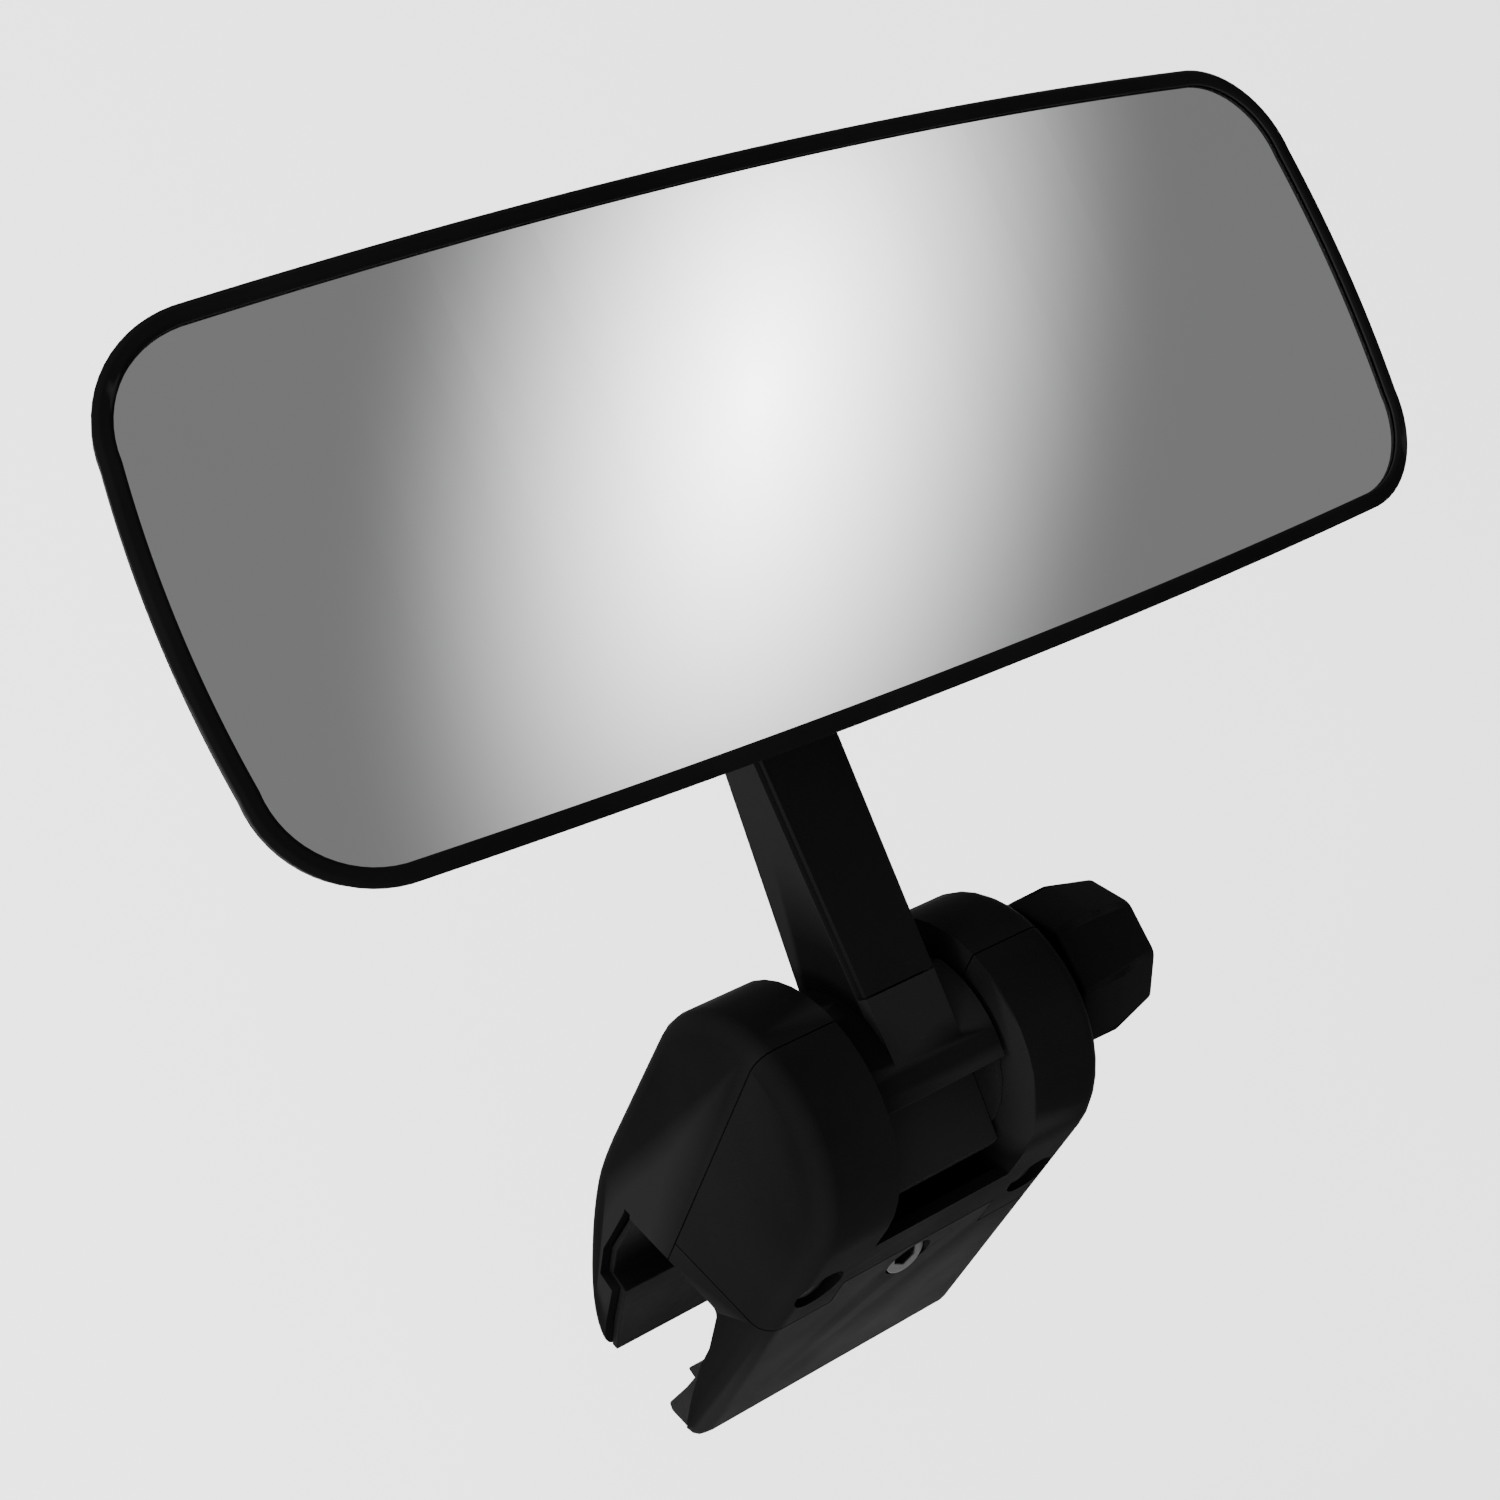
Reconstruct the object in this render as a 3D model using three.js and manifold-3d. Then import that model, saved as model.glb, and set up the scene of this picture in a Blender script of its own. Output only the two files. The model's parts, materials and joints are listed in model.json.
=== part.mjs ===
// Interior rearview mirror with a frame clamp: a convex mirror head on a ball stud, a tilting arm
// and a two-jaw clamp that closes on a windscreen frame. Millimetres, +Z up, +Y towards the rear.
// The origin is the middle of the clamp's channel ceiling, which rests on the frame.
import * as THREE from 'three';
import { mergeVertices } from 'three/addons/utils/BufferGeometryUtils.js';
import Module from 'manifold-3d';

const wasm = await Module();
wasm.setup();

const { sin, cos, tan, PI, asin, hypot } = Math;
const rad = THREE.MathUtils.degToRad;

// ---- driving dimensions ----
const GAP = 0.3;                     // clearance between pieces that touch
const SIDES = 30;                    // sides of a round piece

const BRACKET_HALF = 28.4;            // half the bracket's width along X
const PIVOT = { y: -10.9, z: 33.8 }; // axis that the arm tilts about
const EAR_RADIUS = 21.6;
const EAR_INNER = 13.7;              // inner face of each ear, from the middle
const END_ROUND = 3.3;               // rounding of the bracket's two ends
const CHANNEL = { rear: 12.6, front: -12.2 };
const JAW_TIP = { y: -11, z: -31.9 };
const JAW_DEPTH = 35.2;              // lowest point of the jaws, below the ceiling
const STRIP_TOP = 4.7;               // parting face between the front jaw and the cover
const SPLIT = { foot: 0.8, slope: -0.27 };  // the rear shell's parting face leans forward
const TONGUE = { half: 15.4, top: 11.2 };   // raised middle of the front jaw, under the cover
const LEDGE = { y: -28.9, z: 21.3 }; // front lip of the recess between the ears
const BARREL = { radius: 17.2, half: 12.5, crease: -2.4, neck: 7.6 };
const WASHER = { radius: 14.5, thick: 0.7 };

const BOLT = { radius: 4, bore: 4.4, end: 42, headFrom: -25.2, headTo: -19.2, flat: 6.5 };
const KNOB = { from: 31.1, to: 50.2, radius: 13.6, outer: 11.2, chamfer: 1.4, insert: 6.4 };
const KNOB_BODY = { sides: 8, turn: 14.5, rise: 4.4 };    // the grip sits above the bolt's axis

const COVER_SCREW = { x: 21.8, z: 14.7, head: 3.9, recess: 4.4, shank: 2 };
const INSERT = { radius: 3.4, from: 27, to: 36 };         // along the cover screw
const CLAMP_SCREW = { z: 6, radius: 2.5, head: 3.9, recess: 4.3, reach: 35 };
const CLAMP_NUT = { half: 4.4, from: 27.5, to: 31.5 };    // along the clamp screw

const ARM_LEAN = 42.2;               // the arm leans back from vertical by this many degrees
const ARM = { half: 6.5, widen: 0.015, front: 17.1, back: -2.2, taper: 0.08, straight: 64 };
const ARM_TOP = 90;                  // length of the beam from the pivot
const ARM_COVER = { from: 14.5, to: 74, thick: 2.1, groove: 0.9 };
const ARM_SCREWS = [27, 62];         // places along the arm
const BOSS = { radius: 13, back: -32.5, front: -20.5 };   // the arm's head end, from the ball

const HEAD_LEAN = 47.1;              // the glass leans back from vertical by this many degrees
const HEAD_CENTRE = { y: 9.8, z: 140.3 };                 // middle of the glass
const GLASS = { x: 101.6, y: 37.4, bowX: 1.3, bowY: 2, corner: 15.3, thick: 2.6, ahead: 22 };
const GLASS_CURVE = 4.33e-4;         // drop per square millimetre away from the middle
const RIM = 1.8;
const HOUSING = { back: 5, wall: 2.4, front: 19.4 };
const TAPER = [[0, 17], [9, 7], [17, 5]];                 // the housing's sides: inset, height
const PACK = 6;                      // the glass's carrier and pad stop this far inside its edge
const BALL_RADIUS = 8;
const SOCKET = { bore: 12.3, outer: 17.4, back: -7.6, ceiling: 13 };
const CUPS = { ball: [8.3, 9.3], pressure: [9.6, 10.9], foot: -5 };   // radii of each cup
const RING = { back: -10.6, pocket: 11.2, screws: 14.9 };

// ---- finishes ----
const finish = (color, roughness, metalness = 0) =>
  new THREE.MeshStandardMaterial({ color, roughness, metalness });
const PLASTIC = finish(0x1d1e20, 0.5);
const RUBBER = finish(0x131314, 0.85);
const ACETAL = finish(0xd9d6cb, 0.45);
const STEEL = finish(0xb9bcc0, 0.32, 1);
const BRASS = finish(0xc2a25a, 0.35, 1);
const FOAM = finish(0x3a3b3d, 0.95);
const MIRROR = finish(0xdfe3e6, 0.04, 1);

// ---- solids ----
function solid(geometry) {
  const bare = geometry.clone();
  bare.deleteAttribute('normal');
  bare.deleteAttribute('uv');
  const merged = mergeVertices(bare, 1e-4);
  const corners = Array.from(merged.index.array);
  const faces = corners.filter((_, i) => {
    const [a, b, c] = corners.slice(i - (i % 3), i - (i % 3) + 3);
    return a !== b && b !== c && c !== a;
  });
  return new wasm.Manifold(new wasm.Mesh({
    numProp: 3,
    vertProperties: new Float32Array(merged.attributes.position.array),
    triVerts: new Uint32Array(faces),
  }));
}

const join = (...pieces) => pieces.reduce((sum, piece) => sum.add(piece));
const cut = (body, ...tools) => tools.reduce((left, tool) => left.subtract(tool), body);

function toMesh(name, shape, material) {
  const mesh = shape.getMesh();
  const geometry = new THREE.BufferGeometry();
  geometry.setAttribute('position', new THREE.BufferAttribute(mesh.vertProperties, 3));
  geometry.setIndex(new THREE.BufferAttribute(mesh.triVerts, 1));
  geometry.computeVertexNormals();
  const node = new THREE.Mesh(geometry, material);
  node.name = name;
  return node;
}

// the outline's points with none repeated, which the bevels of an extrusion need
function plain(shape, steps) {
  const points = shape.getPoints(steps);
  const kept = points.filter((point, i) =>
    point.distanceTo(points[(i + points.length - 1) % points.length]) > 1e-3);
  return new THREE.Shape(kept);
}

// an outline in (y, z), extruded along X
const ALONG_X = new THREE.Matrix4().makeBasis(
  new THREE.Vector3(0, 1, 0), new THREE.Vector3(0, 0, 1), new THREE.Vector3(1, 0, 0));

function prism(shape, x0, x1, round = 0) {
  const geometry = new THREE.ExtrudeGeometry(plain(shape, 10), {
    depth: x1 - x0 - 2 * round,
    bevelEnabled: round > 0,
    bevelThickness: round,
    bevelSize: round,
    bevelOffset: -round,
    bevelSegments: 4,
  });
  geometry.translate(0, 0, x0 + round);
  return solid(geometry.applyMatrix4(ALONG_X));
}

function outline(points) {
  const shape = new THREE.Shape();
  shape.moveTo(...points[0]);
  points.slice(1).forEach((point) => shape.lineTo(...point));
  return shape;
}

const block = (x0, x1, y0, y1, z0, z1) => solid(
  new THREE.BoxGeometry(x1 - x0, y1 - y0, z1 - z0)
    .translate((x0 + x1) / 2, (y0 + y1) / 2, (z0 + z1) / 2));

// a round piece about +Z from its (radius, height) profile
const turned = (profile, sides = SIDES) => solid(new THREE.LatheGeometry(
  profile.map(([r, z]) => new THREE.Vector2(r, z)), sides).rotateX(PI / 2));

const rod = (radius, z0, z1, sides = SIDES) =>
  turned([[0, z0], [radius, z0], [radius, z1], [0, z1]], sides);

const tube = (inner, outer, z0, z1) =>
  turned([[inner, z0], [outer, z0], [outer, z1], [inner, z1], [inner, z0]], 24);

const moved = (shape, x, y, z) => shape.translate([x, y, z]);
const onPivot = (shape) => moved(shape.rotate([0, 90, 0]), 0, PIVOT.y, PIVOT.z);
const hexagon = (flat, z0, z1) => rod(flat / cos(PI / 6), z0, z1, 6);

// ---- bracket ----
// the front face is the tangent from the jaw's tip to the ear
const frontAngle = asin(EAR_RADIUS / hypot(JAW_TIP.y - PIVOT.y, PIVOT.z - JAW_TIP.z));
const frontY = (z) => JAW_TIP.y - (z - JAW_TIP.z) * tan(frontAngle);
const splitY = (z) => SPLIT.foot + SPLIT.slope * z;

function bracketOutline() {
  const start = rad(18);
  const earFoot = { y: PIVOT.y + EAR_RADIUS * cos(start), z: PIVOT.z + EAR_RADIUS * sin(start) };
  const lead = 20;
  const shape = new THREE.Shape();
  shape.moveTo(-6, -JAW_DEPTH);
  shape.lineTo(14.4, -JAW_DEPTH);
  shape.bezierCurveTo(19.2, -JAW_DEPTH, 21.6, -28, 22.2, -20);
  shape.bezierCurveTo(22.7, -13, 22.8, -7, 22, 0);
  shape.bezierCurveTo(21, 8, earFoot.y + lead * sin(start), earFoot.z - lead * cos(start),
    earFoot.y, earFoot.z);
  shape.absarc(PIVOT.y, PIVOT.z, EAR_RADIUS, start, PI + frontAngle, false);
  shape.lineTo(JAW_TIP.y, JAW_TIP.z);
  shape.lineTo(JAW_TIP.y + 1.6, -JAW_DEPTH + 0.9);
  return shape;
}

function channel() {
  const shape = new THREE.Shape();
  shape.moveTo(15, -JAW_DEPTH - 4);
  [[15, -28.4], [14.1, -19.8], [17.6, -18.8], [17.2, -12.4], [CHANNEL.rear, 0],
    [CHANNEL.rear, 1], [CHANNEL.rear - 1.5, 1], [CHANNEL.rear - 1.5, 0],
    [CHANNEL.front + 1.4, 0]].forEach((point) => shape.lineTo(...point));
  shape.quadraticCurveTo(CHANNEL.front, 0, CHANNEL.front, -1.6);
  [[-11.4, -9.5], [-9.9, -14.8], [-8.6, -24], [-7.4, -JAW_DEPTH - 4]]
    .forEach((point) => shape.lineTo(...point));
  return prism(shape, -40, 40);
}

// room for the arm's barrel and for the sweep of its beam
function armRoom() {
  const recess = outline([
    [LEDGE.y - 10, LEDGE.z], [LEDGE.y + 1.6, LEDGE.z], [-24.2, 15.4], [-16, 14.6], [-3, 16.4],
    [7.4, 28.4], [30, 28.4], [30, 70], [LEDGE.y - 10, 70],
  ]);
  const round = onPivot(rod(BARREL.radius + 1.2, -EAR_INNER, EAR_INNER));
  return join(prism(recess, -EAR_INNER, EAR_INNER), round);
}

function bracketBlank() {
  const blank = prism(bracketOutline(), -BRACKET_HALF, BRACKET_HALF, END_ROUND);
  const headRoom = onPivot(hexagon(BOLT.flat + GAP, BOLT.headFrom - GAP, BOLT.headTo));
  const bore = onPivot(rod(BOLT.bore, BOLT.headTo - 1, BRACKET_HALF + 2));
  return cut(blank, channel(), armRoom(), headRoom, bore);
}

// the space ahead of the leaning parting face, down to a given height
const aheadOfSplit = (floor, gap) => prism(outline([
  [-60, floor], [splitY(floor) - gap, floor], [splitY(80) - gap, 80], [-60, 80],
]), -40, 40);

const tongueRoom = (gap) => block(-TONGUE.half - gap, TONGUE.half + gap, -60, 10,
  -50, TONGUE.top + gap);

const atCoverScrew = (shape, side) =>
  moved(shape.rotate([-90, 0, 0]), side * COVER_SCREW.x, frontY(COVER_SCREW.z), COVER_SCREW.z);
const atClampScrew = (shape) =>
  moved(shape.rotate([-90, 0, 0]), 0, frontY(CLAMP_SCREW.z), CLAMP_SCREW.z);

function rearShell() {
  const inserts = [-1, 1].map((side) =>
    atCoverScrew(rod(INSERT.radius + GAP, 10, INSERT.to + GAP), side));
  const nutRoom = atClampScrew(block(-CLAMP_NUT.half - GAP, CLAMP_NUT.half + GAP,
    -CLAMP_NUT.half - GAP, CLAMP_NUT.half + GAP, 20, CLAMP_NUT.to + GAP));
  const screwRoom = atClampScrew(rod(CLAMP_SCREW.radius + GAP, 20, CLAMP_SCREW.reach + 1));
  return cut(bracketBlank(), aheadOfSplit(-50, 0), ...inserts, nutRoom, screwRoom);
}

function bracketCover() {
  const holes = [-1, 1].flatMap((side) => [
    atCoverScrew(rod(COVER_SCREW.recess, -14, 6), side),
    atCoverScrew(rod(COVER_SCREW.shank + GAP, 0, 40), side),
  ]);
  const shell = bracketBlank().intersect(aheadOfSplit(STRIP_TOP + GAP, GAP));
  return cut(shell, tongueRoom(GAP), ...holes);
}

function frontJaw() {
  const strip = block(-40, 40, -60, 10, -50, STRIP_TOP);
  const shell = bracketBlank().intersect(aheadOfSplit(-50, GAP));
  return cut(shell.intersect(join(strip, tongueRoom(0))),
    atClampScrew(rod(CLAMP_SCREW.recess, -14, 5)),
    atClampScrew(rod(CLAMP_SCREW.radius + GAP, 0, 40)));
}

// a cap screw along +Z with a hexagon socket in its head
function capScrew(headRadius, headFrom, headTo, shankRadius, shankTo, socket) {
  const head = cut(rod(headRadius, headFrom, headTo),
    hexagon(socket, headFrom - 1, headFrom + (headTo - headFrom) * 0.7));
  return join(head, rod(shankRadius, headTo - 0.2, shankTo, 20));
}

const coverScrew = (side) => atCoverScrew(
  capScrew(COVER_SCREW.head, 2.6, 5.7, COVER_SCREW.shank, INSERT.to - 1, 1.5), side);

const screwInsert = (side) =>
  atCoverScrew(tube(COVER_SCREW.shank + GAP, INSERT.radius, INSERT.from, INSERT.to), side);

const clampScrew = () => atClampScrew(
  capScrew(CLAMP_SCREW.head, 0.8, 4.7, CLAMP_SCREW.radius, CLAMP_SCREW.reach, 2));

const clampNut = () => atClampScrew(cut(
  block(-CLAMP_NUT.half, CLAMP_NUT.half, -CLAMP_NUT.half, CLAMP_NUT.half,
    CLAMP_NUT.from, CLAMP_NUT.to),
  rod(CLAMP_SCREW.radius + GAP, CLAMP_NUT.from - 1, CLAMP_NUT.to + 1)));

// rubber linings of the two jaws
const rearPad = () => prism(outline([
  [13.2, -34.6], [13.2, -28.6], [12.3, -19.2], [15.9, -18.2], [15.5, -12.6], [11.4, -1],
  [12.1, -0.4], [16.8, -12.4], [17.2, -18.5], [13.8, -19.5], [14.7, -28.4], [14.7, -34.6],
]), 1.4 - BRACKET_HALF, BRACKET_HALF - 1.4);

const frontPad = () => prism(outline([
  [-9.5, -15.2], [-5.2, -21.2], [-7, -21.7], [-5.2, -26], [-1.5, -33.4], [-2.4, -34.6],
  [-7.2, -34.4], [-8.2, -24],
]), 1.4 - BRACKET_HALF, BRACKET_HALF - 1.4);

// ---- pivot hardware ----
const pivotBolt = () => onPivot(join(
  hexagon(BOLT.flat, BOLT.headFrom, BOLT.headTo - GAP),
  rod(BOLT.radius, BOLT.headTo - 1, BOLT.end, 28)));

function frictionWasher(side) {
  const middle = side * (BARREL.half + EAR_INNER) / 2;
  return onPivot(tube(BOLT.bore, WASHER.radius,
    middle - WASHER.thick / 2, middle + WASHER.thick / 2));
}

const knobWasher = () => onPivot(tube(BOLT.bore, 9, BRACKET_HALF + GAP, KNOB.from - GAP));

function knob() {
  const { from, to, radius, outer, chamfer } = KNOB;
  const { sides, turn, rise } = KNOB_BODY;
  const grip = turned([
    [0, from], [radius - chamfer, from], [radius, from + chamfer], [radius, from + 8 * chamfer],
    [outer, to - chamfer], [outer - chamfer, to], [0, to],
  ], sides);
  return onPivot(cut(moved(grip.rotate([0, 0, turn]), -rise, 0, 0), rod(KNOB.insert + GAP, from - 1, BOLT.end + 0.6)));
}

const knobInsert = () =>
  onPivot(tube(BOLT.radius + GAP, KNOB.insert, KNOB.from + GAP, BOLT.end - 0.4));

// ---- arm, drawn along +Z with its front face towards -Y, then leaned back about the pivot ----
const leanArm = (shape) => moved(shape.rotate([-ARM_LEAN, 0, 0]), 0, PIVOT.y, PIVOT.z);
const armHalf = (s) => ARM.half + ARM.widen * s;
const armFront = (s) => ARM.taper * Math.min(s, ARM.straight) - ARM.front;
const armBack = (s) => -ARM.back - ARM.taper * Math.min(s, ARM.straight);

// a bar that follows the arm between two stations; offsets move its faces inward
function armBar(s0, s1, front, back, side) {
  const stations = [s0, ARM.straight, s1].filter((s) => s >= s0 && s <= s1);
  const profile = prism(outline([
    ...stations.map((s) => [armFront(s) + front, s]),
    ...stations.reverse().map((s) => [armBack(s) - back, s]),
  ]), -30, 30);
  const face = new THREE.ExtrudeGeometry(outline([
    [-armHalf(s0) + side, s0], [armHalf(s0) - side, s0],
    [armHalf(s1) - side, s1], [-armHalf(s1) + side, s1],
  ]), { depth: 80, bevelEnabled: false }).rotateX(PI / 2).translate(0, 40, 0);
  return profile.intersect(solid(face));
}

const armPlate = (s0, s1, from, to, side) =>
  cut(armBar(s0, s1, from, -20, side), armBar(s0 - 1, s1 + 1, to, -21, -5));

const intoHead = (shape) =>
  moved(shape.rotate([90 - HEAD_LEAN, 0, 0]), 0, HEAD_CENTRE.y, HEAD_CENTRE.z);
const atBall = (shape) => intoHead(moved(shape, 0, 0, -GLASS.ahead));
const atArmScrew = (shape, s) => leanArm(moved(shape.rotate([90, 0, 0]), 0, armBack(s), s));

function armShell() {
  const { radius, half, crease, neck } = BARREL;
  const underside = block(-30, 30, -40, -neck, -40, crease);
  const barrel = cut(rod(radius, -half, half, 48).rotate([0, 90, 0]), underside);
  const beam = armBar(0, ARM_TOP, 0, 0, 0);
  const seat = armPlate(ARM_COVER.from - GAP, ARM_COVER.to + GAP, -3, ARM_COVER.thick + GAP, -9);
  const hollow = armBar(22, 70, -5, 2.6, 2.4);
  const bars = leanArm(cut(join(barrel, beam), seat, hollow));
  const boss = atBall(rod(BOSS.radius, BOSS.back, BOSS.front));
  const posts = ARM_SCREWS.map((s) => leanArm(armBar(s - 4, s + 4, ARM_COVER.thick + GAP, 0, 0)));
  const holes = ARM_SCREWS.flatMap((s) => [
    atArmScrew(rod(1.8, -2, 30), s), atArmScrew(rod(3.1, -2, 2.4), s)]);
  return cut(join(bars, boss, ...posts), onPivot(rod(BOLT.bore, -20, 20)),
    atBall(rod(4.3, -40, 0)), atBall(rod(9, -40, -26.2)), ...holes);
}

function armCover() {
  const plate = armPlate(ARM_COVER.from, ARM_COVER.to, 0, ARM_COVER.thick, 0);
  const groove = cut(armPlate(0, 90, ARM_COVER.groove, 8, -5), armPlate(0, 90, 0, 9, 1));
  const posts = ARM_SCREWS.map((s) => atArmScrew(tube(0.9, 1.5, 2.6, 40), s)
    .intersect(leanArm(armBar(s - 3, s + 3, 1, 0, 0))));
  return join(leanArm(cut(plate, groove)), ...posts);
}

const armScrew = (s) => atArmScrew(capScrew(2.6, 0.4, 2.1, 0.6, 7, 0.9), s);

// ---- ball joint, in the head's own frame: ball centre at 0, +Z square to the glass ----
function ballStud() {
  return atBall(join(globe(BALL_RADIUS), rod(3.4, -18, -4, 24), hexagon(6, -20.2, -16.8), rod(4, -31.4, -18, 24)));
}

const studNut = () => atBall(cut(hexagon(6.3, -31, -26.5), rod(4.3, -32, -25)));
const studCap = () => atBall(rod(8.6, -32.4, -31.7));
const globe = (radius) => solid(new THREE.SphereGeometry(radius, 24, 14));
const cup = ([inside, outside]) =>
  atBall(cut(globe(outside), globe(inside), rod(SOCKET.bore, -20, CUPS.foot)));
const waveSpring = () => atBall(tube(6, 11, 9.6, 12.6));

function retainingRing() {
  const body = join(rod(SOCKET.outer, RING.back, SOCKET.back - GAP),
    rod(SOCKET.bore - GAP, RING.back, -0.4));
  const mouth = turned([[0, -20], [13.6, -20], [8.6, RING.back], [6, -5], [0, -5]]);
  return atBall(cut(body, globe(RING.pocket), mouth, ...ringHoles(1.5, RING.back - 1, 0)));
}

const ringPlaces = [90, 210, 330].map((a) => [RING.screws * cos(rad(a)), RING.screws * sin(rad(a))]);
const ringHoles = (radius, z0, z1) => ringPlaces.map(([x, y]) => moved(rod(radius, z0, z1, 16), x, y, 0));
const ringScrew = ([x, y]) => atBall(moved(
  join(rod(2.3, RING.back - 1.6, RING.back - GAP, 20), rod(1.1, RING.back - 1, 1, 16)), x, y, 0));

// ---- mirror head ----
// the glass's outline, grown by an amount: straight-looking edges that swell a little
function headOutline(grow) {
  const x = GLASS.x + grow;
  const y = GLASS.y + grow;
  const r = GLASS.corner + grow;
  const shape = new THREE.Shape();
  shape.moveTo(-x + r, -y + GLASS.bowY);
  shape.quadraticCurveTo(0, -y - GLASS.bowY, x - r, -y + GLASS.bowY);
  shape.bezierCurveTo(x - r * 0.42, -y + GLASS.bowY + 0.6, x - GLASS.bowX, -y + r * 0.45,
    x - GLASS.bowX, -y + r + 1);
  shape.quadraticCurveTo(x + GLASS.bowX, 0, x - GLASS.bowX, y - r - 1);
  shape.bezierCurveTo(x - GLASS.bowX, y - r * 0.45, x - r * 0.42, y - GLASS.bowY - 0.6,
    x - r, y - GLASS.bowY);
  shape.quadraticCurveTo(0, y + GLASS.bowY, -x + r, y - GLASS.bowY);
  shape.bezierCurveTo(-x + r * 0.42, y - GLASS.bowY - 0.6, -x + GLASS.bowX, y - r * 0.45,
    -x + GLASS.bowX, y - r - 1);
  shape.quadraticCurveTo(-x - GLASS.bowX, 0, -x + GLASS.bowX, -y + r + 1);
  shape.bezierCurveTo(-x + GLASS.bowX, -y + r * 0.45, -x + r * 0.42, -y + GLASS.bowY + 0.6,
    -x + r, -y + GLASS.bowY);
  return shape;
}

// the head's outline as a bar between two depths from the ball
const headBar = (grow, z0, z1) => solid(new THREE.ExtrudeGeometry(
  plain(headOutline(grow), 6), { depth: z1 - z0, bevelEnabled: false }).translate(0, 0, z0));

// the space between two surfaces that curve with the glass along its length
function curvedLayer(z0, z1) {
  const edge = Array.from({ length: 19 }, (_, i) => 15 * (i - 9));
  const curve = (z) => edge.map((x) => [x, z - GLASS_CURVE * x * x]);
  const layer = new THREE.ExtrudeGeometry(
    outline([...curve(z0), ...curve(z1).reverse()]), { depth: 120, bevelEnabled: false });
  return solid(layer.rotateX(PI / 2).translate(0, 60, 0));
}

const headPlate = (grow, z0, z1) => headBar(grow, z0 - 12, z1 + 4).intersect(curvedLayer(z0, z1));

const glassBack = GLASS.ahead - GLASS.thick;

// the head's outline as a bar whose sides lean in towards the back
function taperedBar(grow, z0, z1) {
  const profile = (half) => {
    const side = [[half, z1], ...TAPER.map(([inset, z]) => [half - inset, z])];
    return outline([...side, ...side.map(([u, z]) => [-u, z]).reverse()]);
  };
  const along = new THREE.ExtrudeGeometry(profile(GLASS.x + GLASS.bowX / 2 + grow),
    { depth: 120, bevelEnabled: false }).rotateX(PI / 2).translate(0, 60, 0);
  const across = prism(profile(GLASS.y + GLASS.bowY / 2 + grow), -120, 120);
  return headBar(grow, z0, z1).intersect(solid(along)).intersect(across);
}

function housing() {
  const outer = cut(taperedBar(RIM, HOUSING.back, 40), curvedLayer(HOUSING.front, 60));
  const inner = taperedBar(RIM - HOUSING.wall, HOUSING.back + HOUSING.wall, 60);
  const tower = rod(SOCKET.outer, SOCKET.back, SOCKET.ceiling + 1.6);
  const bore = rod(SOCKET.bore, SOCKET.back - 2, SOCKET.ceiling);
  return atBall(cut(join(cut(outer, inner), tower), bore, ...ringHoles(1.5, -20, 2)));
}

const glassCarrier = () => atBall(headPlate(-PACK, glassBack - 3.4, glassBack - 1.8));
const foamPad = () => atBall(headPlate(-PACK, glassBack - 1.5, glassBack - GAP));
const mirrorGlass = () => atBall(headPlate(-0.4, glassBack, GLASS.ahead));

function bezel() {
  const ring = headPlate(RIM, HOUSING.front + GAP, GLASS.ahead + 1);
  return atBall(cut(ring, headPlate(0, GLASS.ahead - 6, GLASS.ahead + GAP),
    headBar(-0.9, 0, 60)));
}

// ---- assembly ----
const mirror = new THREE.Group();
const add = (name, shape, material) => mirror.add(toMesh(name, shape, material));
const SIDE = { left: -1, right: 1 };

add('rear_shell', rearShell(), PLASTIC);
add('bracket_cover', bracketCover(), PLASTIC);
add('front_jaw', frontJaw(), PLASTIC);
add('rear_jaw_pad', rearPad(), RUBBER);
add('front_jaw_pad', frontPad(), RUBBER);
Object.entries(SIDE).forEach(([name, side]) => {
  add(`cover_screw_${name}`, coverScrew(side), STEEL);
  add(`screw_insert_${name}`, screwInsert(side), BRASS);
  add(`friction_washer_${name}`, frictionWasher(side), PLASTIC);
});
add('clamp_screw', clampScrew(), STEEL);
add('clamp_nut', clampNut(), STEEL);
add('pivot_bolt', pivotBolt(), STEEL);
add('knob_washer', knobWasher(), STEEL);
add('knob', knob(), PLASTIC);
add('knob_insert', knobInsert(), BRASS);
add('arm_shell', armShell(), PLASTIC);
add('arm_cover', armCover(), PLASTIC);
ARM_SCREWS.forEach((s, i) => add(`arm_screw_${['lower', 'upper'][i]}`, armScrew(s), STEEL));
add('ball_stud', ballStud(), STEEL);
add('stud_nut', studNut(), STEEL);
add('stud_cap', studCap(), PLASTIC);
add('ball_cup', cup(CUPS.ball), ACETAL);
add('pressure_cup', cup(CUPS.pressure), ACETAL);
add('wave_spring', waveSpring(), STEEL);
add('retaining_ring', retainingRing(), PLASTIC);
ringPlaces.forEach((place, i) => add(`ring_screw_${i + 1}`, ringScrew(place), STEEL));
add('mirror_housing', housing(), PLASTIC);
add('glass_carrier', glassCarrier(), ACETAL);
add('foam_pad', foamPad(), FOAM);
add('mirror_glass', mirrorGlass(), MIRROR);
add('bezel', bezel(), PLASTIC);

export default mirror;
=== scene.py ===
"""Looks of the interior rearview mirror: materials, fine shapes, camera and studio.

Lengths are metres. Pieces are built where the frame's own pieces are, from its joints and boxes.
"""

import json
import math

import bmesh
import bpy
from mathutils import Matrix, Vector

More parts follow.
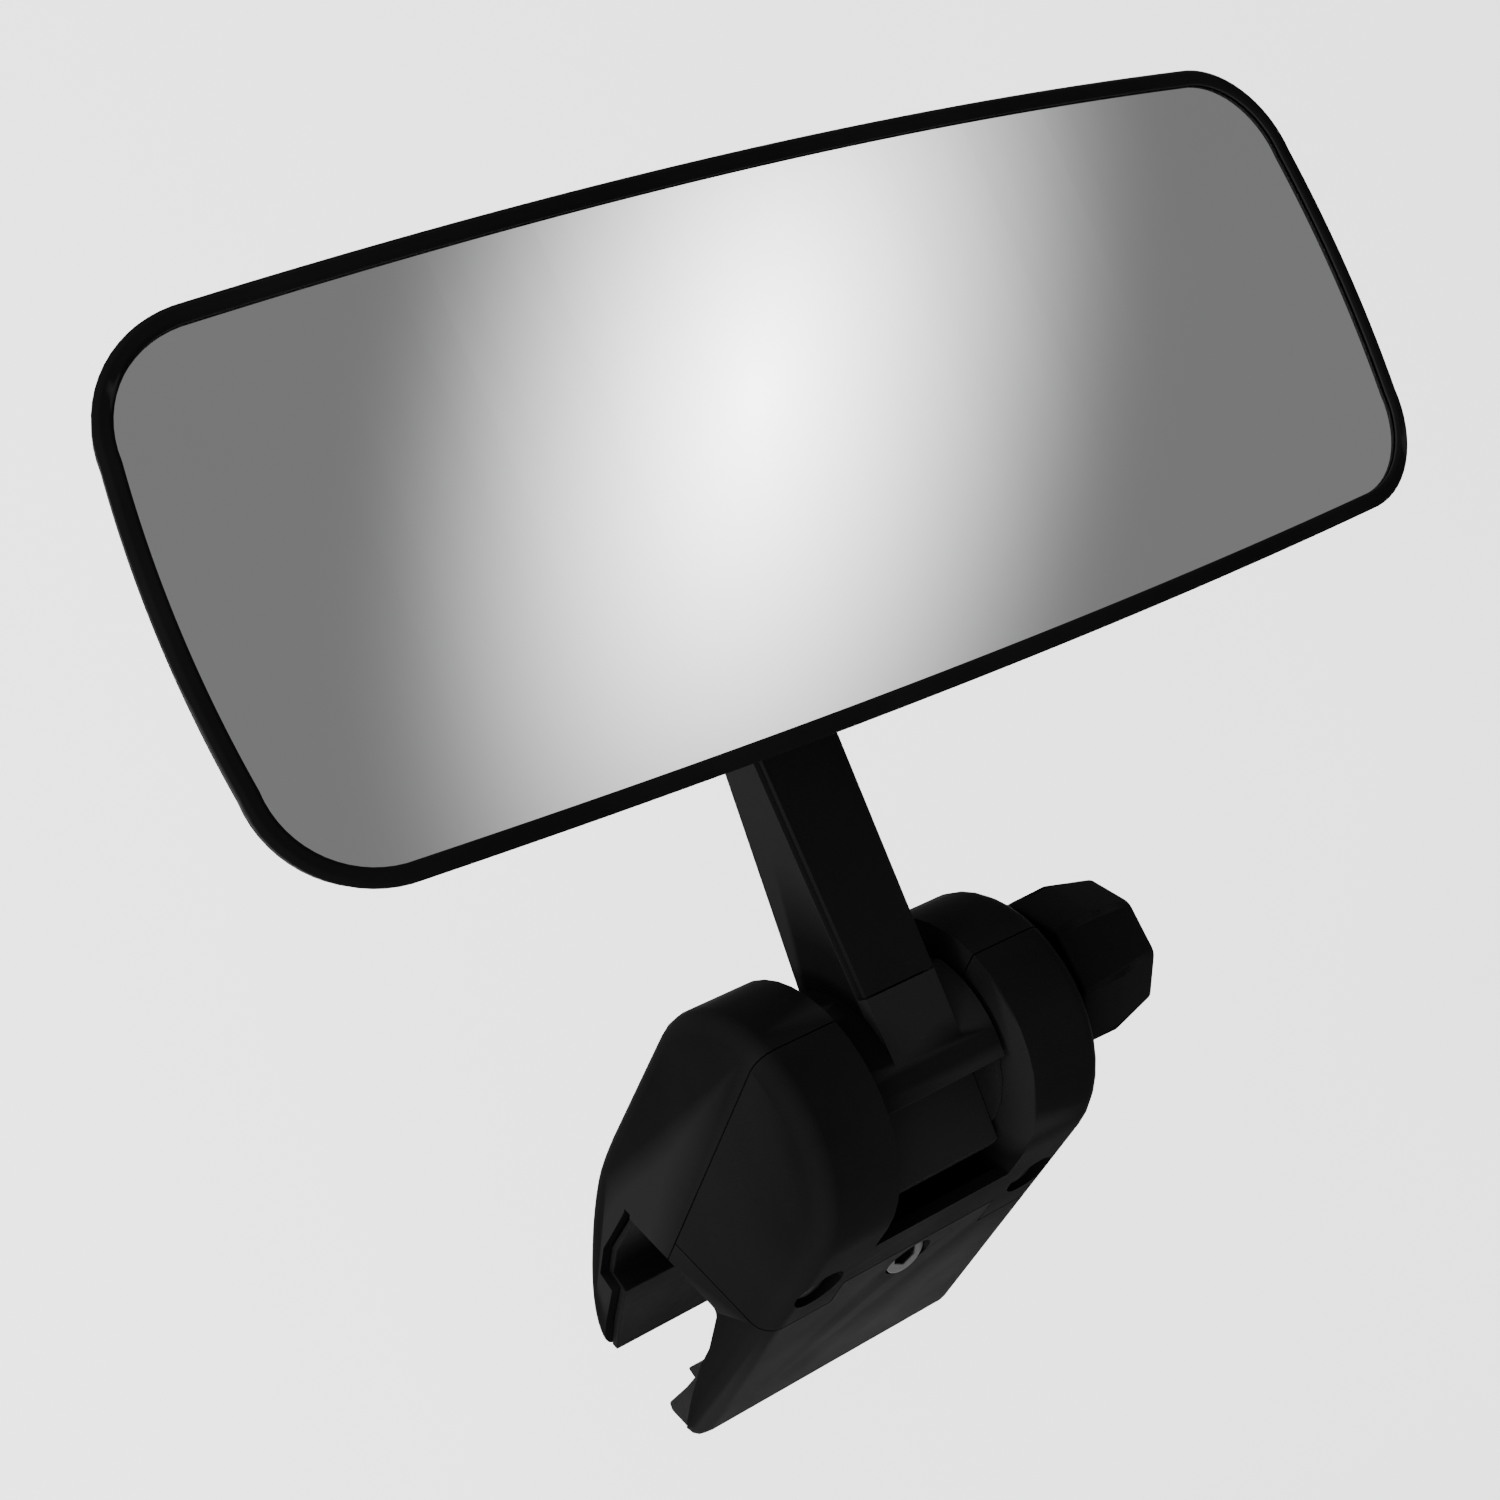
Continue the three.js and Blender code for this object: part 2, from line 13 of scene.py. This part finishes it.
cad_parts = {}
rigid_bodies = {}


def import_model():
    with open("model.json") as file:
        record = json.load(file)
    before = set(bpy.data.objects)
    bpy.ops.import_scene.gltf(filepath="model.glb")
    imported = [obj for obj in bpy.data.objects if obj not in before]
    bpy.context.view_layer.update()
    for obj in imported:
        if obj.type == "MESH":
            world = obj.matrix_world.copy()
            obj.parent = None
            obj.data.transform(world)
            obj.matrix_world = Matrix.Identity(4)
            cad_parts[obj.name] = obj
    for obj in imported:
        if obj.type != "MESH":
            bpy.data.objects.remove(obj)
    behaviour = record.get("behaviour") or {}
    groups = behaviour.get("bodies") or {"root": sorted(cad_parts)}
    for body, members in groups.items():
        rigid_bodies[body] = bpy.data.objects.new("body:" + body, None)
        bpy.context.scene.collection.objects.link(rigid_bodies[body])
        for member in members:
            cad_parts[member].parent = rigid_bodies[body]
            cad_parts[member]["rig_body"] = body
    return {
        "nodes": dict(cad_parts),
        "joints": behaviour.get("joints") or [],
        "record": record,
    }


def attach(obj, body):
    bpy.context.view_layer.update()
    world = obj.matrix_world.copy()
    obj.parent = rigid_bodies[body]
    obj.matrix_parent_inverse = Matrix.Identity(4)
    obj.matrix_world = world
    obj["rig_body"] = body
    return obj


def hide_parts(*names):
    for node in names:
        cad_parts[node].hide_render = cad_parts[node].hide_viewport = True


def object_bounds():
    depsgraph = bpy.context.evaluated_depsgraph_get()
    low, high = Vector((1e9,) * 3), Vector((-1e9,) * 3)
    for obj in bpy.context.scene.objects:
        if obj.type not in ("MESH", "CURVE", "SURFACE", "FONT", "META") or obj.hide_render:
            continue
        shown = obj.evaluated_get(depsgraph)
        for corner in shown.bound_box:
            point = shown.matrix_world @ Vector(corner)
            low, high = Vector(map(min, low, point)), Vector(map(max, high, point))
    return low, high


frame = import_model()
BOX_BEFORE = [list(corner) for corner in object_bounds()]
MM = 0.001

NODES = frame["nodes"]
JOINTS = {joint["name"]: joint for joint in frame["joints"]}

# ---- the head's own frame: ball centre at 0, +Z square to the glass ----
BALL = Vector(JOINTS["head_roll"]["pos_m"])
SQUARE = Vector(JOINTS["head_roll"]["axis"]).normalized()
UPWARD = SQUARE.cross(Vector((1, 0, 0)))
HEAD = Matrix.Translation(BALL) @ Matrix((
    (1, 0, 0, 0),
    (0, UPWARD.y, SQUARE.y, 0),
    (0, UPWARD.z, SQUARE.z, 0),
    (0, 0, 0, 1),
))
PIVOT = Vector(JOINTS["arm_tilt"]["pos_m"])
# +Z of a turned piece laid along the pivot's axis, with +X of the piece pointing down
ALONG_PIVOT = Matrix.Translation(Vector((0, PIVOT.y, PIVOT.z))) @ Matrix.Rotation(math.pi / 2, 4, "Y")

# ---- sizes, in millimetres ----
GLASS = {"x": 101.6, "y": 37.4, "bow_x": 1.3, "bow_y": 2.0, "corner": 15.6}
GLASS_FRONT, GLASS_BACK = 22.0, 19.4
GLASS_CURVE = 4.33e-4                 # drop per square millimetre away from the middle
GLASS_STRIPS, STRIP_WIDTH = 24, 4.1   # cuts on each side of the middle, so the face can bend
BEZEL = [(-0.9, 22.15), (-0.9, 22.6), (-0.4, 23.0), (1.0, 23.0), (1.7, 22.4), (1.0, 19.75),
         (-0.1, 19.75), (-0.1, 22.15)]
HOUSING = [(-0.2, 19.1), (-1.6, 17.2), (-5, 11.6), (-9, 8), (-17, 5.3), ("round", 15, 5),
           ("round", 15, 7.4), (-17, 7.6), (-10.5, 10), (-6.8, 13.2), (-3.4, 17.8), (-2, 19.1)]
TOWER = [(12.3, -7.6), (17.4, -7.6), (17.4, 14.6), (12.3, 14.6)]
KNOB = [(13.6, 32.2), (13.8, 40), (11.6, 49.2), (9.6, 50.4)]
KNOB_BORE = (6.98, 11.2)              # circumradius and depth of the bore for the insert
KNOB_RISE = 4.6                       # height of the grip's middle above the bolt's axis
KNOB_TURN = math.radians(14.5)
KNOB_SIDES = 8


# ---- mesh helpers ----
def soften(bm, width, segments=3, angle=28):
    """Rounds every edge sharper than the angle, in degrees."""
    sharp = [e for e in bm.edges if e.is_manifold and e.calc_face_angle(0) > math.radians(angle)]
    bmesh.ops.bevel(bm, geom=sharp, offset=width, offset_type="OFFSET", affect="EDGES",
                    segments=segments, profile=0.5, material=-1, clamp_overlap=True)


def make(name, bm, nodes, material, place=None):
    """A finished piece from a bmesh, riding and standing for the frame's nodes."""
    if place is not None:
        bmesh.ops.transform(bm, matrix=place, verts=bm.verts)
    bmesh.ops.recalc_face_normals(bm, faces=bm.faces)
    mesh = bpy.data.meshes.new(name)
    bm.to_mesh(mesh)
    bm.free()
    mesh.shade_smooth()
    mesh.set_sharp_from_angle(angle=math.radians(35))
    piece = bpy.data.objects.new(name.replace(" ", "_"), mesh)
    bpy.context.scene.collection.objects.link(piece)
    weighted = piece.modifiers.new("even shading", "WEIGHTED_NORMAL")
    weighted.keep_sharp = True
    mesh.materials.append(MATERIALS[material])
    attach(piece, NODES[nodes[0]]["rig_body"])
    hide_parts(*nodes)
    return piece


def copied(node):
    """A bmesh of a node of the frame, merged, with its flat faces made whole."""
    bm = bmesh.new()
    bm.from_mesh(NODES[node].data)
    bmesh.ops.remove_doubles(bm, verts=bm.verts, dist=2e-6)
    bmesh.ops.dissolve_limit(bm, angle_limit=math.radians(1.2), verts=bm.verts, edges=bm.edges,
                             use_dissolve_boundaries=False)
    return bm


def refined(name, node, material, width, segments=3, angle=28):
    """The frame's own shape with its edges rounded."""
    bm = copied(node)
    soften(bm, width * MM, segments, angle)
    return make(name, bm, [node], material)


def turned(profile, sides=96):
    """A closed turned ring or solid about +Z from (radius, height) points, in millimetres."""
    bm = bmesh.new()
    verts = [bm.verts.new((r * MM, 0, z * MM)) for r, z in profile]
    edges = [bm.edges.new(pair) for pair in zip(verts, verts[1:] + verts[:1])]
    bmesh.ops.spin(bm, geom=verts + edges, cent=(0, 0, 0), axis=(0, 0, 1),
                   angle=2 * math.pi, steps=sides, use_merge=True, use_duplicate=False)
    bmesh.ops.remove_doubles(bm, verts=bm.verts, dist=1e-6)
    return bm


def head_outline(bm):
    """The head's outline as a face, with each vertex's place and outward direction kept."""
    place = bm.verts.layers.float_vector.new("place")
    outward = bm.verts.layers.float_vector.new("outward")
    x, y, r = GLASS["x"], GLASS["y"], GLASS["corner"]
    bmesh.ops.create_grid(bm, x_segments=1, y_segments=1, size=1)
    bmesh.ops.scale(bm, vec=(x, y, 1), verts=bm.verts)
    bmesh.ops.bevel(bm, geom=list(bm.verts), offset=r, affect="VERTICES", segments=16,
                    profile=0.5, material=-1)
    long_edges = [e for e in bm.edges if e.calc_length() > r]
    bmesh.ops.subdivide_edges(bm, edges=long_edges, cuts=31)
    for v in bm.verts:
        across = min(1, (v.co.x / (x - r)) ** 2)
        along = min(1, (v.co.y / (y - r)) ** 2)
        v.co.y *= 1 - GLASS["bow_y"] / y * across
        v.co.x *= 1 - GLASS["bow_x"] / x * along
    bm.faces.ensure_lookup_table()
    face = bm.faces[0]
    if face.normal.z < 0:
        face.normal_flip()
    for loop in face.loops:
        ahead, behind = loop.link_loop_next.vert.co, loop.link_loop_prev.vert.co
        direction = ahead - behind
        loop.vert[outward] = Vector((direction.y, -direction.x, 0)).normalized()
        loop.vert[place] = loop.vert.co
    return face, place, outward


def put(vert, step, place, outward):
    """Moves an outline's vertex to one step of a profile."""
    if step[0] == "round":
        spot = vert[place].normalized() * step[1]
    else:
        spot = vert[place] + vert[outward] * step[0]
    vert.co = (spot.x, spot.y, step[-1])


def head_ring(profile):
    """A closed ring that follows the head's outline with a (growth, height) section."""
    bm = bmesh.new()
    face, place, outward = head_outline(bm)
    edges = list(face.edges)
    bmesh.ops.delete(bm, geom=[face], context="FACES_ONLY")
    for v in bm.verts:
        put(v, profile[0], place, outward)
    for step in profile[1:] + profile[:1]:
        grown = bmesh.ops.extrude_edge_only(bm, edges=edges)["geom"]
        edges = [g for g in grown if isinstance(g, bmesh.types.BMEdge)]
        for v in (g for g in grown if isinstance(g, bmesh.types.BMVert)):
            put(v, step, place, outward)
    bmesh.ops.remove_doubles(bm, verts=bm.verts, dist=1e-4)
    return bm


def bend(bm):
    """Curves a flat head piece with the glass and turns millimetres into metres."""
    for v in bm.verts:
        v.co.z -= GLASS_CURVE * v.co.x ** 2
    bmesh.ops.scale(bm, vec=(MM, MM, MM), verts=bm.verts)


# ---- materials ----
def shader(name, colour, rough, metallic=0.0, grain=900, grain_depth=0.00004, rough_spread=0.08,
           patch=45, tint=0.18, edge_wear_and_highlight=0.0, specular=0.5):
    """A moulded or machined surface: mottled colour, uneven roughness, fine grain, and convex edges
    lightened partly for wear and partly as a painted highlight.
    """
    mat = bpy.data.materials.new(name)
    mat.use_nodes = True
    tree = mat.node_tree
    new, link = tree.nodes.new, tree.links.new
    surface = tree.nodes["Principled BSDF"]
    surface.inputs["Metallic"].default_value = metallic
    surface.inputs["Specular IOR Level"].default_value = specular
    where = new("ShaderNodeTexCoord").outputs["Object"]

    def noise(scale, detail):
        node = new("ShaderNodeTexNoise")
        node.inputs["Scale"].default_value = scale
        node.inputs["Detail"].default_value = detail
        link(where, node.inputs["Vector"])
        return node.outputs["Fac"]

    patches, fine = noise(patch, 4), noise(grain, 3)

    def spread(source, low, high):
        node = new("ShaderNodeMapRange")
        node.inputs["From Min"].default_value = 0.3
        node.inputs["From Max"].default_value = 0.7
        node.inputs["To Min"].default_value = low
        node.inputs["To Max"].default_value = high
        link(source, node.inputs["Value"])
        return node.outputs["Result"]

    def mix(factor, a, b):
        node = new("ShaderNodeMix")
        node.data_type = "RGBA"
        link(factor, node.inputs["Factor"])
        for socket, value in ((node.inputs[6], a), (node.inputs[7], b)):
            if isinstance(value, tuple):
                socket.default_value = value
            else:
                link(value, socket)
        return node.outputs[2]

    dark = tuple(c * (1 - tint) for c in colour) + (1,)
    light = tuple(min(1, c * (1 + tint)) for c in colour) + (1,)
    base = mix(spread(patches, 0, 1), dark, light)
    # convex edges are lightened by pointiness: partly wear, partly a painted highlight along rims and
    # ridges
    if edge_wear_and_highlight:
        edge = new("ShaderNodeMapRange")
        edge.inputs["From Min"].default_value = 0.52
        edge.inputs["From Max"].default_value = 0.6
        edge.inputs["To Max"].default_value = edge_wear_and_highlight
        link(new("ShaderNodeNewGeometry").outputs["Pointiness"], edge.inputs["Value"])
        worn_and_highlit = tuple(min(1, c * 2.2 + 0.01) for c in colour) + (1,)
        base = mix(edge.outputs["Result"], base, worn_and_highlit)
    link(base, surface.inputs["Base Color"])
    link(spread(patches, rough - rough_spread, rough + rough_spread), surface.inputs["Roughness"])
    bump = new("ShaderNodeBump")
    bump.inputs["Strength"].default_value = 0.6
    bump.inputs["Distance"].default_value = grain_depth
    link(fine, bump.inputs["Height"])
    link(bump.outputs["Normal"], surface.inputs["Normal"])
    return mat


MATERIALS = {
    # the black plastic's lighter edges are partly a painted highlight, standing in for the rim
    # highlights that its near-zero specular does not give
    "black_plastic": shader("moulded black plastic", (0.0021, 0.00205, 0.0021), 0.4, grain=1400,
                            grain_depth=0.00003, edge_wear_and_highlight=0.3, specular=0.0004),
    "pad_rubber": shader("jaw rubber", (0.001, 0.001, 0.00105), 0.7, grain=700, grain_depth=0.00008,
                         specular=0.03),
    "dark_steel": shader("blackened steel", (0.006, 0.006, 0.006), 0.45, metallic=0.9, grain=1800,
                         grain_depth=0.00001, edge_wear_and_highlight=0.6),
    "bright_steel": shader("bright steel", (0.62, 0.63, 0.64), 0.22, metallic=1.0, grain=2200,
                           grain_depth=0.000008, tint=0.06),
    "brass": shader("brass", (0.62, 0.45, 0.18), 0.3, metallic=1.0, grain=1800, grain_depth=0.00001),
    "natural_acetal": shader("natural acetal", (0.75, 0.72, 0.66), 0.45, grain=900,
                             grain_depth=0.00001, tint=0.04),
    "foam": shader("foam", (0.05, 0.05, 0.052), 0.9, grain=500, grain_depth=0.0003),
    "mirror_glass": shader("silvered glass", (0.93, 0.935, 0.94), 0.045, metallic=1.0, grain=300,
                           grain_depth=0.0000004, rough_spread=0.012, patch=9, tint=0.012),
}

# every node that stays on show takes its slot's finish
SLOTS = {part["node"]: part.get("material_slot") for part in frame["record"]["subparts"]}
for node_name, node_object in NODES.items():
    node_object.data.materials.clear()
    node_object.data.materials.append(MATERIALS[SLOTS.get(node_name) or "black_plastic"])


# ---- pieces refined from the frame's own shapes: name, node, finish, rounding ----
REFINED = [
    ("rear shell", "rear_shell", "black_plastic", 0.5),
    ("bracket cover", "bracket_cover", "black_plastic", 0.45),
    ("front jaw", "front_jaw", "black_plastic", 0.5),
    ("rear jaw lining", "rear_jaw_pad", "pad_rubber", 0.25),
    ("front jaw lining", "front_jaw_pad", "pad_rubber", 0.35),
    ("left cover screw", "cover_screw_left", "dark_steel", 0.2),
    ("right cover screw", "cover_screw_right", "dark_steel", 0.2),
    # the clamp screw's head takes blackened steel so that it paints the shade deep in its hole
    ("clamp screw head", "clamp_screw", "dark_steel", 0.2),
    ("pivot bolt", "pivot_bolt", "dark_steel", 0.3),
    ("knob washer", "knob_washer", "dark_steel", 0.2),
    ("arm shell", "arm_shell", "black_plastic", 0.5),
    ("arm cover", "arm_cover", "black_plastic", 0.35),
    ("lower arm screw", "arm_screw_lower", "bright_steel", 0.12),
    ("upper arm screw", "arm_screw_upper", "bright_steel", 0.12),
    ("ball stud", "ball_stud", "bright_steel", 0.25),
    ("stud cap", "stud_cap", "black_plastic", 0.2),
    ("retaining ring", "retaining_ring", "black_plastic", 0.4),
]
for title, node_name, finish_name, rounding in REFINED:
    refined(title, node_name, finish_name, rounding)
for number in (1, 2, 3):
    refined(f"ring screw {number}", f"ring_screw_{number}", "bright_steel", 0.15)


# ---- mirror head ----
def glass_piece():
    bm = bmesh.new()
    _, place, outward = head_outline(bm)
    for v in bm.verts:
        put(v, (-0.4, GLASS_BACK), place, outward)
    for i in range(-GLASS_STRIPS, GLASS_STRIPS + 1):
        bmesh.ops.bisect_plane(bm, geom=list(bm.verts) + list(bm.edges) + list(bm.faces),
                               plane_co=(i * STRIP_WIDTH, 0, 0), plane_no=(1, 0, 0), dist=1e-4)
    front = bmesh.ops.extrude_face_region(bm, geom=list(bm.faces))["geom"]
    bmesh.ops.translate(bm, vec=(0, 0, GLASS_FRONT - GLASS_BACK),
                        verts=[g for g in front if isinstance(g, bmesh.types.BMVert)])
    bend(bm)
    return make("mirror glass", bm, ["mirror_glass"], "mirror_glass", HEAD)


def bezel_piece():
    bm = head_ring(BEZEL)
    soften(bm, 0.3, 3)
    bend(bm)
    return make("bezel", bm, ["bezel"], "black_plastic", HEAD)


def housing_piece():
    bm = head_ring(HOUSING)
    soften(bm, 0.8, 4, 20)
    bend(bm)
    tower = turned(TOWER)
    soften(tower, 0.5 * MM)
    scrap = bpy.data.meshes.new("tower")
    tower.to_mesh(scrap)
    tower.free()
    bm.from_mesh(scrap)
    return make("mirror housing", bm, ["mirror_housing"], "black_plastic", HEAD)


glass_piece()
bezel_piece()
housing_piece()


# ---- knob: an eight-sided tapered grip that sits above the bolt's axis ----
def knob_piece():
    bm = bmesh.new()
    bmesh.ops.create_circle(bm, cap_ends=True, segments=KNOB_SIDES, radius=KNOB[0][0])
    bmesh.ops.rotate(bm, matrix=Matrix.Rotation(KNOB_TURN, 3, "Z"), verts=bm.verts)
    bmesh.ops.translate(bm, vec=(-KNOB_RISE, 0, KNOB[0][1]), verts=bm.verts)
    top = list(bm.faces)
    for (r0, z0), (r1, z1) in zip(KNOB, KNOB[1:]):
        grown = bmesh.ops.extrude_face_region(bm, geom=top)["geom"]
        verts = [g for g in grown if isinstance(g, bmesh.types.BMVert)]
        top = [g for g in grown if isinstance(g, bmesh.types.BMFace)]
        bmesh.ops.translate(bm, vec=(0, 0, z1 - z0), verts=verts)
        centre = Matrix.Translation((KNOB_RISE, 0, 0))
        bmesh.ops.scale(bm, vec=(r1 / r0, r1 / r0, 1), space=centre, verts=verts)
    bmesh.ops.recalc_face_normals(bm, faces=bm.faces)
    soften(bm, 0.9, 4, 20)
    bore(bm)
    bmesh.ops.scale(bm, vec=(MM, MM, MM), verts=bm.verts)
    return make("knob", bm, ["knob"], "black_plastic", ALONG_PIVOT)


def bore(bm):
    """Sinks the bore for the insert into the knob's foot, on the bolt's axis."""
    radius, depth = KNOB_BORE
    foot = min(bm.faces, key=lambda face: face.calc_center_median().z)
    grown = bmesh.ops.extrude_face_region(bm, geom=[foot])["geom"]
    foot = [g for g in grown if isinstance(g, bmesh.types.BMFace)]
    for vert in foot[0].verts:
        spoke = Vector((vert.co.x + KNOB_RISE, vert.co.y, 0)).normalized() * radius
        vert.co = Vector((spoke.x, spoke.y, KNOB[0][1]))
    grown = bmesh.ops.extrude_face_region(bm, geom=foot)["geom"]
    verts = [g for g in grown if isinstance(g, bmesh.types.BMVert)]
    bmesh.ops.translate(bm, vec=(0, 0, depth), verts=verts)


knob_piece()


# ---- studio: sizes in metres ----
CARD = {"radius": 1.5, "away": 1.5, "aside": 0.06, "down": 0.1, "turn": 175}
GLOW = {"stretch": 2, "reach": 0.8, "fall": 2.9, "edge": 0.2, "middle": 7}
FLOOR_DROP = 0.12                     # distance of the floor below the part
LENS, SENSOR = 60.24, 36
CAMERA_AT = Vector((-0.2089, -0.2089, 0.2993))
CAMERA_AHEAD = Vector((0.54, 0.607, -0.583))
CAMERA_RIGHT = Vector((0.784, -0.615, 0.086))
WORLD_STRENGTH = 3.6


def stage_mesh(name, bm, material):
    mesh = bpy.data.meshes.new(name)
    bm.to_mesh(mesh)
    bm.free()
    stand = bpy.data.objects.new(name, mesh)
    bpy.context.scene.collection.objects.link(stand)
    mesh.materials.append(material)
    return stand


def pale_floor():
    mat = bpy.data.materials.new("pale floor")
    mat.use_nodes = True
    surface = mat.node_tree.nodes["Principled BSDF"]
    surface.inputs["Base Color"].default_value = (0.9, 0.9, 0.9, 1)
    surface.inputs["Roughness"].default_value = 0.9
    bm = bmesh.new()
    bmesh.ops.create_grid(bm, x_segments=2, y_segments=2, size=6)
    bmesh.ops.translate(bm, vec=(0, 0, BOX_BEFORE[0][2] - FLOOR_DROP), verts=bm.verts)
    stage_mesh("floor", bm, mat)


def soft_card():
    """A large pale card, brightest in its middle, which the glass reflects."""
    mat = bpy.data.materials.new("soft card")
    mat.use_nodes = True
    tree = mat.node_tree
    tree.nodes.clear()
    new, link = tree.nodes.new, tree.links.new
    where = new("ShaderNodeTexCoord").outputs["Object"]
    oval = new("ShaderNodeVectorMath")
    oval.operation = "MULTIPLY"
    oval.inputs[1].default_value = (1, GLOW["stretch"], 1)
    link(where, oval.inputs[0])
    length = new("ShaderNodeVectorMath")
    length.operation = "LENGTH"
    link(oval.outputs["Vector"], length.inputs[0])
    near = new("ShaderNodeMapRange")
    near.inputs["From Max"].default_value = GLOW["reach"]
    near.inputs["To Min"].default_value = 1
    near.inputs["To Max"].default_value = 0
    link(length.outputs["Value"], near.inputs["Value"])
    fall = new("ShaderNodeMath")
    fall.operation = "POWER"
    fall.inputs[1].default_value = GLOW["fall"]
    link(near.outputs["Result"], fall.inputs[0])
    level = new("ShaderNodeMapRange")
    level.inputs["To Min"].default_value = GLOW["edge"]
    level.inputs["To Max"].default_value = GLOW["middle"]
    link(fall.outputs["Value"], level.inputs["Value"])
    glow = new("ShaderNodeEmission")
    link(level.outputs["Result"], glow.inputs["Strength"])
    link(glow.outputs["Emission"], new("ShaderNodeOutputMaterial").inputs["Surface"])
    bm = bmesh.new()
    bmesh.ops.create_circle(bm, cap_ends=True, segments=64, radius=CARD["radius"])
    card = stage_mesh("soft card", bm, mat)
    glass = HEAD @ Vector((0, 0, GLASS_FRONT * MM))
    sight = (glass - CAMERA_AT).normalized()
    bounce = sight - 2 * sight.dot(SQUARE) * SQUARE
    side = bounce.cross(Vector((0, 0, 1))).normalized()
    aside = side * CARD["aside"] + side.cross(bounce) * CARD["down"]
    card.matrix_world = (Matrix.Translation(glass + bounce * CARD["away"] + aside)
                         @ bounce.to_track_quat("Z", "Y").to_matrix().to_4x4()
                         @ Matrix.Rotation(math.radians(CARD["turn"]), 4, "Z"))


def area(name, at, aim, size, power):
    """A round soft lamp."""
    data = bpy.data.lights.new(name, "AREA")
    data.shape = "DISK"
    data.size = size
    data.energy = power
    lamp = bpy.data.objects.new(name, data)
    bpy.context.scene.collection.objects.link(lamp)
    lamp.location = at
    lamp.rotation_euler = (Vector(aim) - Vector(at)).to_track_quat("-Z", "Y").to_euler()


def camera():
    data = bpy.data.cameras.new("camera")
    data.sensor_width = SENSOR
    data.lens = LENS
    data.clip_start = 0.01
    eye = bpy.data.objects.new("camera", data)
    bpy.context.scene.collection.objects.link(eye)
    back = -CAMERA_AHEAD.normalized()
    right = (CAMERA_RIGHT - CAMERA_RIGHT.dot(back) * back).normalized()
    up = back.cross(right)
    turn = Matrix((right, up, back)).transposed().to_4x4()
    eye.matrix_world = Matrix.Translation(CAMERA_AT) @ turn
    bpy.context.scene.camera = eye


camera()
pale_floor()
soft_card()
area("key", (-0.3, 0.5, 1.3), (0, 0, 0.06), 0.7, 14)
area("side", (-1.3, -0.2, 0.45), (0, 0, 0.05), 0.35, 22)
area("low", (-0.9, -0.85, 0.0), (0, 0, 0.03), 0.3, 6)
world = bpy.data.worlds.new("studio")
world.use_nodes = True
world.node_tree.nodes["Background"].inputs["Color"].default_value = (1, 1, 1, 1)
world.node_tree.nodes["Background"].inputs["Strength"].default_value = WORLD_STRENGTH
bpy.context.scene.world = world
